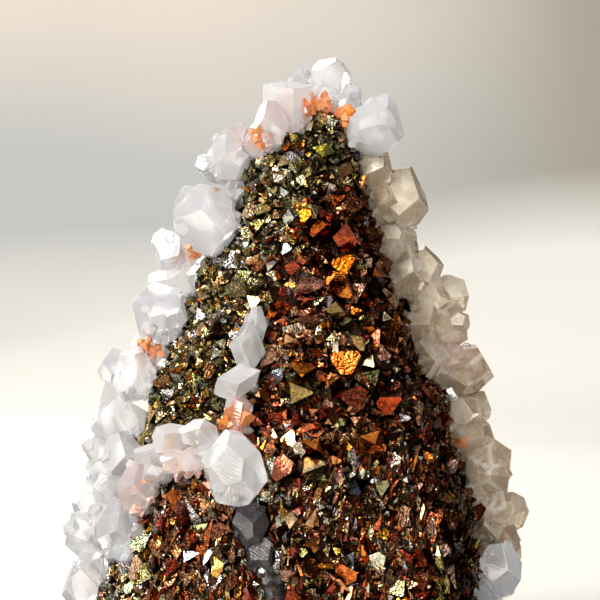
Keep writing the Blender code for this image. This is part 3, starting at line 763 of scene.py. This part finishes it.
def calciteMaterial(name, kind, edge=False):
    material, wires, shader = newMaterial(name)
    tree = material.node_tree
    wear = wires.add("ShaderNodeGroup", {"Hill Scale": 760.0, "Line Scale": 1300.0}, node_tree=faceWear)
    inner = wires.add("ShaderNodeGroup", node_tree=veils)
    cloud = wires.ramp(wear.outputs["Cloud"], 0.40, 0.60)
    hazed = wires.mix(cloud, rgba(kind["colour"]), rgba(kind["haze"]))
    # Painted shade: each facet leans towards the kind's shade colour by the way it faces
    faceted = wires.mix(inner.outputs["FacetShade"], hazed, rgba(kind["shade"]))
    colour = wires.mix(inner.outputs["Crack"], faceted, rgba(kind["colour"]))
    # Painted highlight: the eased edges leave out the facet shade and cracks, so they read lighter
    if edge:
        colour = wires.mix(cloud, rgba(kind["colour"]), hazed)
    tinge = wires.add("ShaderNodeGroup", node_tree=blush).outputs["Mask"]
    tinged = wires.mix(wires.math("MULTIPLY", tinge, calciteLook["blushAmount"]), colour,
                       rgba(calciteLook["blushColour"]))
    stain = wires.add("ShaderNodeGroup", node_tree=rust).outputs["Mask"]
    rustShade = wires.mix(cloud, rgba(calciteLook["rustColour"]), rgba(calciteLook["rustDeep"]))
    tree.links.new(wires.mix(stain, tinged, rustShade), shader.inputs["Base Color"])
    low, high = kind["rough"]
    rough = wires.ramp(wear.outputs["Cloud"], 0.35, 0.65, low, high)
    tree.links.new(rough, shader.inputs["Roughness"])
    shader.inputs["IOR"].default_value = calciteLook["ior"]
    # Painted light: the edges are less see-through and glow three and a half times more, as painted highlights;
    # the faces glow faintly, lifting their shade
    shader.inputs["Transmission Weight"].default_value = 0.25 if edge else kind["clear"]
    shader.inputs["Emission Color"].default_value = (1.0, 1.0, 1.0, 1.0)
    shader.inputs["Emission Strength"].default_value = kind["glow"] * (3.5 if edge else 1.0)
    shader.inputs["Subsurface Weight"].default_value = 0.3
    shader.inputs["Subsurface Radius"].default_value = (1.0, 0.9, 0.8)
    shader.inputs["Subsurface Scale"].default_value = 1.2 * mm
    bump = wires.add("ShaderNodeBump", {"Strength": 0.7, "Distance": calciteLook["bumpDepth"],
                                        "Height": wear.outputs["Height"]})
    tree.links.new(bump.outputs[0], shader.inputs["Normal"])
    return material


calciteMaterials = {}
for kindName, kind in calciteKinds.items():
    faceMaterial = calciteMaterial("calcite_" + kindName, kind)
    edgeMaterial = calciteMaterial("calciteEdgeHighlight_" + kindName, kind, edge=True)
    calciteMaterials[kindName] = (faceMaterial, edgeMaterial)


def kindOf(name):
    for start, kind in calciteFinish.items():
        if name.startswith(start):
            return kind
    return "white"


def dressCalcite(name):
    node = nodes[name]
    node.data.materials.clear()
    for material in calciteMaterials[kindOf(name)]:
        node.data.materials.append(material)
    weld = node.modifiers.new("weld", "WELD")
    weld.merge_threshold = calciteLook["weld"]
    planes = node.modifiers.new("planes", "DECIMATE")
    planes.decimate_type = "DISSOLVE"
    planes.angle_limit = calciteLook["flat"]
    bevel = node.modifiers.new("edges", "BEVEL")
    bevel.width = calciteLook["edge"]
    bevel.segments = 2
    bevel.limit_method = "ANGLE"
    bevel.angle_limit = math.radians(15)
    bevel.material = 1


for calciteName in calciteNames:
    dressCalcite(calciteName)

# Small calcite crystals where the large ones meet the pyrite, steps grown on the large ones,
# and rusty crystals at some of the stains
crumbs = {
    "seed": 21,
    "perArea": 0.45,
    "reach": 0.9 * mm,
    "size": (0.5, 1.5),
    "stepsPerArea": {"white": 0.035, "warm": 0.05, "shadowDark": 0.02},
    "stepSize": (1.0, 3.0),
    "stepSink": 0.30,
    "rustyPerSpot": 26,
    "rustySize": (0.6, 1.7),
    "stainedRise": 0.15,
    "rosyPerSpot": 34,
    "rosySize": (0.4, 1.1),
    "rustyAt": ("left summit", "top middle", "top right", "left ridge low", "left ridge low 2",
                "chain foot", "rear", "rear foot"),
    "rosyAt": ("rim middle", "rim left"),
    "maxRadius": 2.0,
    "footSink": 0.10,
}
# Rusty crystals on the left ridge: pixel across, pixel down, size (mm)
ridgeRust = [
    (140, 342, 1.1),
    (146, 346, 1.4),
    (152, 351, 1.4),
    (157, 347, 1.2),
    (149, 340, 1.0),
    (162, 353, 1.1),
    (154, 356, 1.0),
    (188, 247, 1.0),
    (194, 252, 1.2),
    (199, 256, 0.9),
    (252, 131, 1.0),
    (257, 138, 1.3),
    (261, 145, 1.2),
]
# Calcites that spread from the left foot over the rock: pixel across, pixel down, size (mm)
footCrystals = [
    (134, 512, 2.0),
    (137, 521, 2.4),
    (139, 533, 2.6),
    (136, 545, 2.5),
    (129, 556, 2.1),
    (133, 539, 2.2),
]


def pointsOn(shape, perArea, dice):
    for face in shape.faces:
        wanted = face.calc_area() / mm / mm * perArea
        corners = [vert.co for vert in face.verts]
        for _ in range(int(wanted) + (dice.random() < wanted % 1)):
            a = math.sqrt(dice.random())
            b = dice.random()
            yield corners[0] * (1 - a) + corners[1] * a * (1 - b) + corners[2] * a * b, face.normal


def scatterCrumbs():
    dice = random.Random(crumbs["seed"])
    heaps = {}
    for name in calciteNames:
        kind = kindOf(name)
        heap = heaps.setdefault(kind, Heap())
        shape = mergedShape(name)
        bmesh.ops.triangulate(shape, faces=shape.faces)
        for place, normal in pointsOn(shape, crumbs["perArea"], dice):
            if place.z < 1.0 * mm or matrixTree.find_nearest(place, crumbs["reach"])[0] is None:
                continue
            size = dice.uniform(*crumbs["size"]) * mm
            heap.add(f"calcite{dice.randrange(5)}", place, randomTurn(dice, normal, 0.6),
                     (size, size, size), (1, 1, 1), 1.0, dice, 0.0)
        for place, normal in pointsOn(shape, crumbs["stepsPerArea"][kind], dice):
            size = dice.uniform(*crumbs["stepSize"]) * mm
            if place.z < 2.5 * mm or (name.startswith("calcite_lobe_rim") and size > 2 * mm):
                continue
            heap.add(f"calcite{dice.randrange(5)}", place - normal * size * crumbs["stepSink"],
                     randomTurn(dice, normal, 0.35), (size, size, size), (1, 1, 1), 1.0, dice, 0.0)
        shape.free()
    return heaps


def placeByPixel(heap, rows):
    dice = random.Random(crumbs["seed"] + 2)
    for px, py, size in rows:
        place, normal, _, _ = everythingTree.ray_cast(cameraPlace, photoRay(px, py))
        size *= mm
        heap.add(f"calcite{dice.randrange(5)}", place - normal * size * crumbs["footSink"],
                 randomTurn(dice, normal, 0.6), (size, size, size), (1, 1, 1), 1.0, dice, 0.0)


def scatterStained(spots, perSpot, sizes):
    dice = random.Random(crumbs["seed"] + 1)
    heap = Heap()
    for x, y, z, radius in spots:
        spot = everythingTree.find_nearest(Vector((x, y, z)) * mm)[0]
        for _ in range(perSpot):
            stray = Vector([dice.gauss(0, 0.35) for _ in range(3)]) * radius * mm
            place, normal, _, _ = everythingTree.find_nearest(spot + stray)
            if matrixTree.find_nearest(place, crumbs["maxRadius"] * mm)[0] is None:
                continue
            size = dice.uniform(*sizes) * mm
            scale = [size * dice.uniform(0.7, 1.2) for _ in range(3)]
            heap.add(f"blunt{dice.randrange(6)}", place + normal * size * crumbs["stainedRise"],
                     randomTurn(dice, normal, 0.6), scale, (1, 1, 1), 1.0, dice, 0.0)
    return heap


def stainedMaterial(name, colour, other):
    material, wires, shader = newMaterial(name)
    tree = material.node_tree
    wear = wires.add("ShaderNodeGroup", {"Hill Scale": 700.0, "Line Scale": 900.0}, node_tree=faceWear)
    cloud = wires.ramp(wear.outputs["Cloud"], 0.35, 0.65)
    tree.links.new(wires.mix(cloud, rgba(colour), rgba(other)), shader.inputs["Base Color"])
    tree.links.new(wires.ramp(wear.outputs["Cloud"], 0.3, 0.7, 0.15, 0.5), shader.inputs["Roughness"])
    shader.inputs["IOR"].default_value = calciteLook["ior"]
    shader.inputs["Transmission Weight"].default_value = 0.2
    bump = wires.add("ShaderNodeBump", {"Strength": 0.4, "Distance": calciteLook["bumpDepth"],
                                        "Height": wear.outputs["Height"]})
    tree.links.new(bump.outputs[0], shader.inputs["Normal"])
    return material


crumbHeaps = scatterCrumbs()
placeByPixel(crumbHeaps["white"], footCrystals)
for kindName, heap in crumbHeaps.items():
    crumbPiece = heap.piece("calciteCrumbs_" + kindName, calciteMaterials[kindName][0])
    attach(crumbPiece, "root")
rustyHeap = scatterStained([stainSpots[name] for name in crumbs["rustyAt"]],
                           crumbs["rustyPerSpot"], crumbs["rustySize"])
placeByPixel(rustyHeap, ridgeRust)
rustyLook = stainedMaterial("calcite_rusty", calciteLook["rustColour"], shown(240, 168, 126))
rosyHeap = scatterStained([blushSpots[name] for name in crumbs["rosyAt"]],
                          crumbs["rosyPerSpot"], crumbs["rosySize"])
rosyLook = stainedMaterial("calcite_rosy", shown(236, 176, 156), shown(240, 214, 204))
for pieceName, heap, look in (("calciteCrumbs_rusty", rustyHeap, rustyLook),
                              ("calciteCrumbs_rosy", rosyHeap, rosyLook)):
    stained = heap.piece(pieceName, look)
    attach(stained, "root")
print("calcite done")


# Stage: a pale floor that curves up into a backdrop, cream below and grey above, with painted light and shade
stage = {
    "halfWidth": 1.6,
    "front": -1.2,
    "bend": 0.55,
    "radius": 0.35,
    "top": 1.6,
    "low": (0.86, 0.84, 0.79),
    "floor": (0.62, 0.61, 0.57),
    "high": (0.53, 0.54, 0.53),
    # warm is painted warm light in the upper left; the next grey is painted shade at the right
    "warm": (0.78, 0.70, 0.61),
    "rightShade": (0.385, 0.36, 0.305),
    "fadeFrom": 40 * mm,
    "fadeTo": 79 * mm,
    "warmFrom": 100 * mm,
    "warmTo": 170 * mm,
}


# Painted light and shade on the stage: white below, grey above, painted warm light in the upper left and painted
# shade at the right
def stageMaterial():
    material, wires, shader = newMaterial("floor")
    tree = material.node_tree
    place = wires.add("ShaderNodeTexCoord").outputs["Object"]
    parts = wires.add("ShaderNodeSeparateXYZ", {"Vector": place})
    drift = wires.add("ShaderNodeTexNoise", {"Vector": place, "Scale": 6.0, "Detail": 1.0})
    strayed = wires.math("ADD", parts.outputs["Z"], wires.ramp(drift.outputs[0], 0.3, 0.7, -0.01, 0.01))
    across = wires.ramp(parts.outputs["X"], -0.12, 0.12, -0.12, 0.12)
    height = wires.math("SUBTRACT", strayed, wires.math("MULTIPLY", across, 0.17))
    fade = wires.ramp(height, stage["fadeFrom"], stage["fadeTo"])
    warmLight = wires.math("MULTIPLY", wires.ramp(strayed, stage["warmFrom"], stage["warmTo"]),
                        wires.ramp(parts.outputs["X"], 0.13, -0.03))
    grey = wires.mix(wires.ramp(parts.outputs["X"], 0.02, 0.12), rgba(stage["high"]), rgba(stage["rightShade"]))
    tinged = wires.mix(warmLight, grey, rgba(stage["warm"]))
    # Painted shade: the floor in front is darker than at the bend, evening out the stronger light it gets
    ground = wires.mix(wires.ramp(parts.outputs["Y"], 0.43, 0.65), rgba(stage["floor"]), rgba(stage["low"]))
    tree.links.new(wires.mix(fade, ground, tinged), shader.inputs["Base Color"])
    shader.inputs["Roughness"].default_value = 0.8
    return material


def makeStage():
    profile = [(stage["front"], 0.0), (stage["bend"], 0.0)]
    for step in range(1, 13):
        angle = math.pi / 2 * step / 12
        out = stage["radius"] * math.sin(angle)
        profile.append((stage["bend"] + out, stage["radius"] * (1 - math.cos(angle))))
    profile.append((stage["bend"] + stage["radius"], stage["top"]))
    shape = bmesh.new()
    rows = []
    for y, z in profile:
        rows.append([shape.verts.new((side * stage["halfWidth"], y, z)) for side in (-1, 1)])
    for one, other in zip(rows, rows[1:]):
        shape.faces.new((one[0], one[1], other[1], other[0]))
    mesh = bpy.data.meshes.new("floor")
    shape.to_mesh(mesh)
    shape.free()
    mesh.shade_smooth()
    mesh.materials.append(stageMaterial())
    floor = bpy.data.objects.new("floor", mesh)
    bpy.context.scene.collection.objects.link(floor)
    floor.visible_glossy = False


makeStage()

# Soft studio light: a key from the upper left, weaker panels round it.
# Each has a place (m), a size (m), a power (W) and a colour.
lights = {
    "key": {"place": (-0.40, -0.36, 0.40), "size": (0.25, 0.25), "power": 4.4, "colour": (1.0, 0.97, 0.93)},
    "back": {"place": (-0.25, 0.42, 0.30), "size": (0.25, 0.25), "power": 2.4, "colour": (1.0, 0.98, 0.95)},
    "stageWash": {"place": (0.0, 0.30, 0.9), "size": (0.9, 0.3), "power": 0.25, "colour": (1.0, 0.97, 0.92)},
}
# What mirrors see: bright windows in a dark room. Each has a direction, the angles (degrees)
# where it is full and where it ends, and a colour.
mirrorWindows = {
    "key": ((-0.40, -0.70, 0.58), 22, 30, (1.20, 1.14, 1.02)),
    "spark": ((-0.66, -0.45, 0.60), 10, 13, (3.6, 3.5, 3.2)),
    "low": ((-0.08, -0.72, -0.68), 26, 40, (1.25, 1.10, 0.92)),
    "side": ((-0.95, -0.25, 0.12), 16, 22, (1.25, 1.25, 1.3)),
    "top": ((0.0, 0.10, 0.99), 16, 28, (1.0, 0.97, 0.92)),
    "front": ((-0.12, -0.98, 0.16), 5, 8, (2.2, 2.1, 1.9)),
    "rightSpark": ((0.60, -0.60, 0.50), 4, 6, (2.6, 2.2, 1.8)),
    "behind": ((-0.40, 0.80, 0.40), 25, 40, (1.0, 0.97, 0.93)),
    "behindLow": ((0.10, 0.75, -0.60), 22, 36, (0.9, 0.8, 0.65)),
}
world = {
    "seen": (1.40, 1.39, 1.37),
    "soft": 0.62,
    "room": (0.010, 0.007, 0.005),
}


def makeLights():
    target = Vector((0, 0, 30 * mm))
    for name, spec in lights.items():
        data = bpy.data.lights.new(name, "AREA")
        data.shape = "RECTANGLE"
        data.size, data.size_y = spec["size"]
        data.energy = spec["power"]
        data.color = spec["colour"]
        lamp = bpy.data.objects.new(name, data)
        bpy.context.scene.collection.objects.link(lamp)
        lamp.location = spec["place"]
        aim = target if name != "stageWash" else Vector((0, 0.9, 0.1))
        lamp.rotation_euler = (aim - Vector(spec["place"])).to_track_quat("-Z", "Y").to_euler()
        lamp.visible_camera = False


def makeWorld():
    sky = bpy.data.worlds.new("studio")
    bpy.context.scene.world = sky
    sky.use_nodes = True
    tree = sky.node_tree
    wires = Wiring(tree)
    tree.nodes.clear()
    path = wires.add("ShaderNodeLightPath")
    where = wires.add("ShaderNodeTexCoord").outputs["Generated"]
    mirror = rgba(world["room"])
    for direction, full, gone, colour in mirrorWindows.values():
        facing = wires.add("ShaderNodeVectorMath", {0: where, 1: Vector(direction).normalized()},
                           operation="DOT_PRODUCT").outputs["Value"]
        lit = wires.ramp(facing, math.cos(math.radians(gone)), math.cos(math.radians(full)))
        mirror = wires.mix(lit, mirror, rgba(colour))
    bent = path.outputs["Is Transmission Ray"]
    mirrored = wires.math("SUBTRACT", path.outputs["Is Glossy Ray"], bent, clamp=True)
    colour = wires.mix(mirrored, rgba(world["seen"]), mirror)
    strength = wires.math("ADD", wires.math("MULTIPLY", path.outputs["Is Diffuse Ray"], world["soft"] - 1), 1.0)
    glow = wires.add("ShaderNodeBackground", {"Color": colour, "Strength": strength})
    out = wires.add("ShaderNodeOutputWorld")
    tree.links.new(glow.outputs[0], out.inputs["Surface"])


makeLights()
makeWorld()
bpy.context.scene.view_settings.view_transform = "Standard"
print("stage and light done")
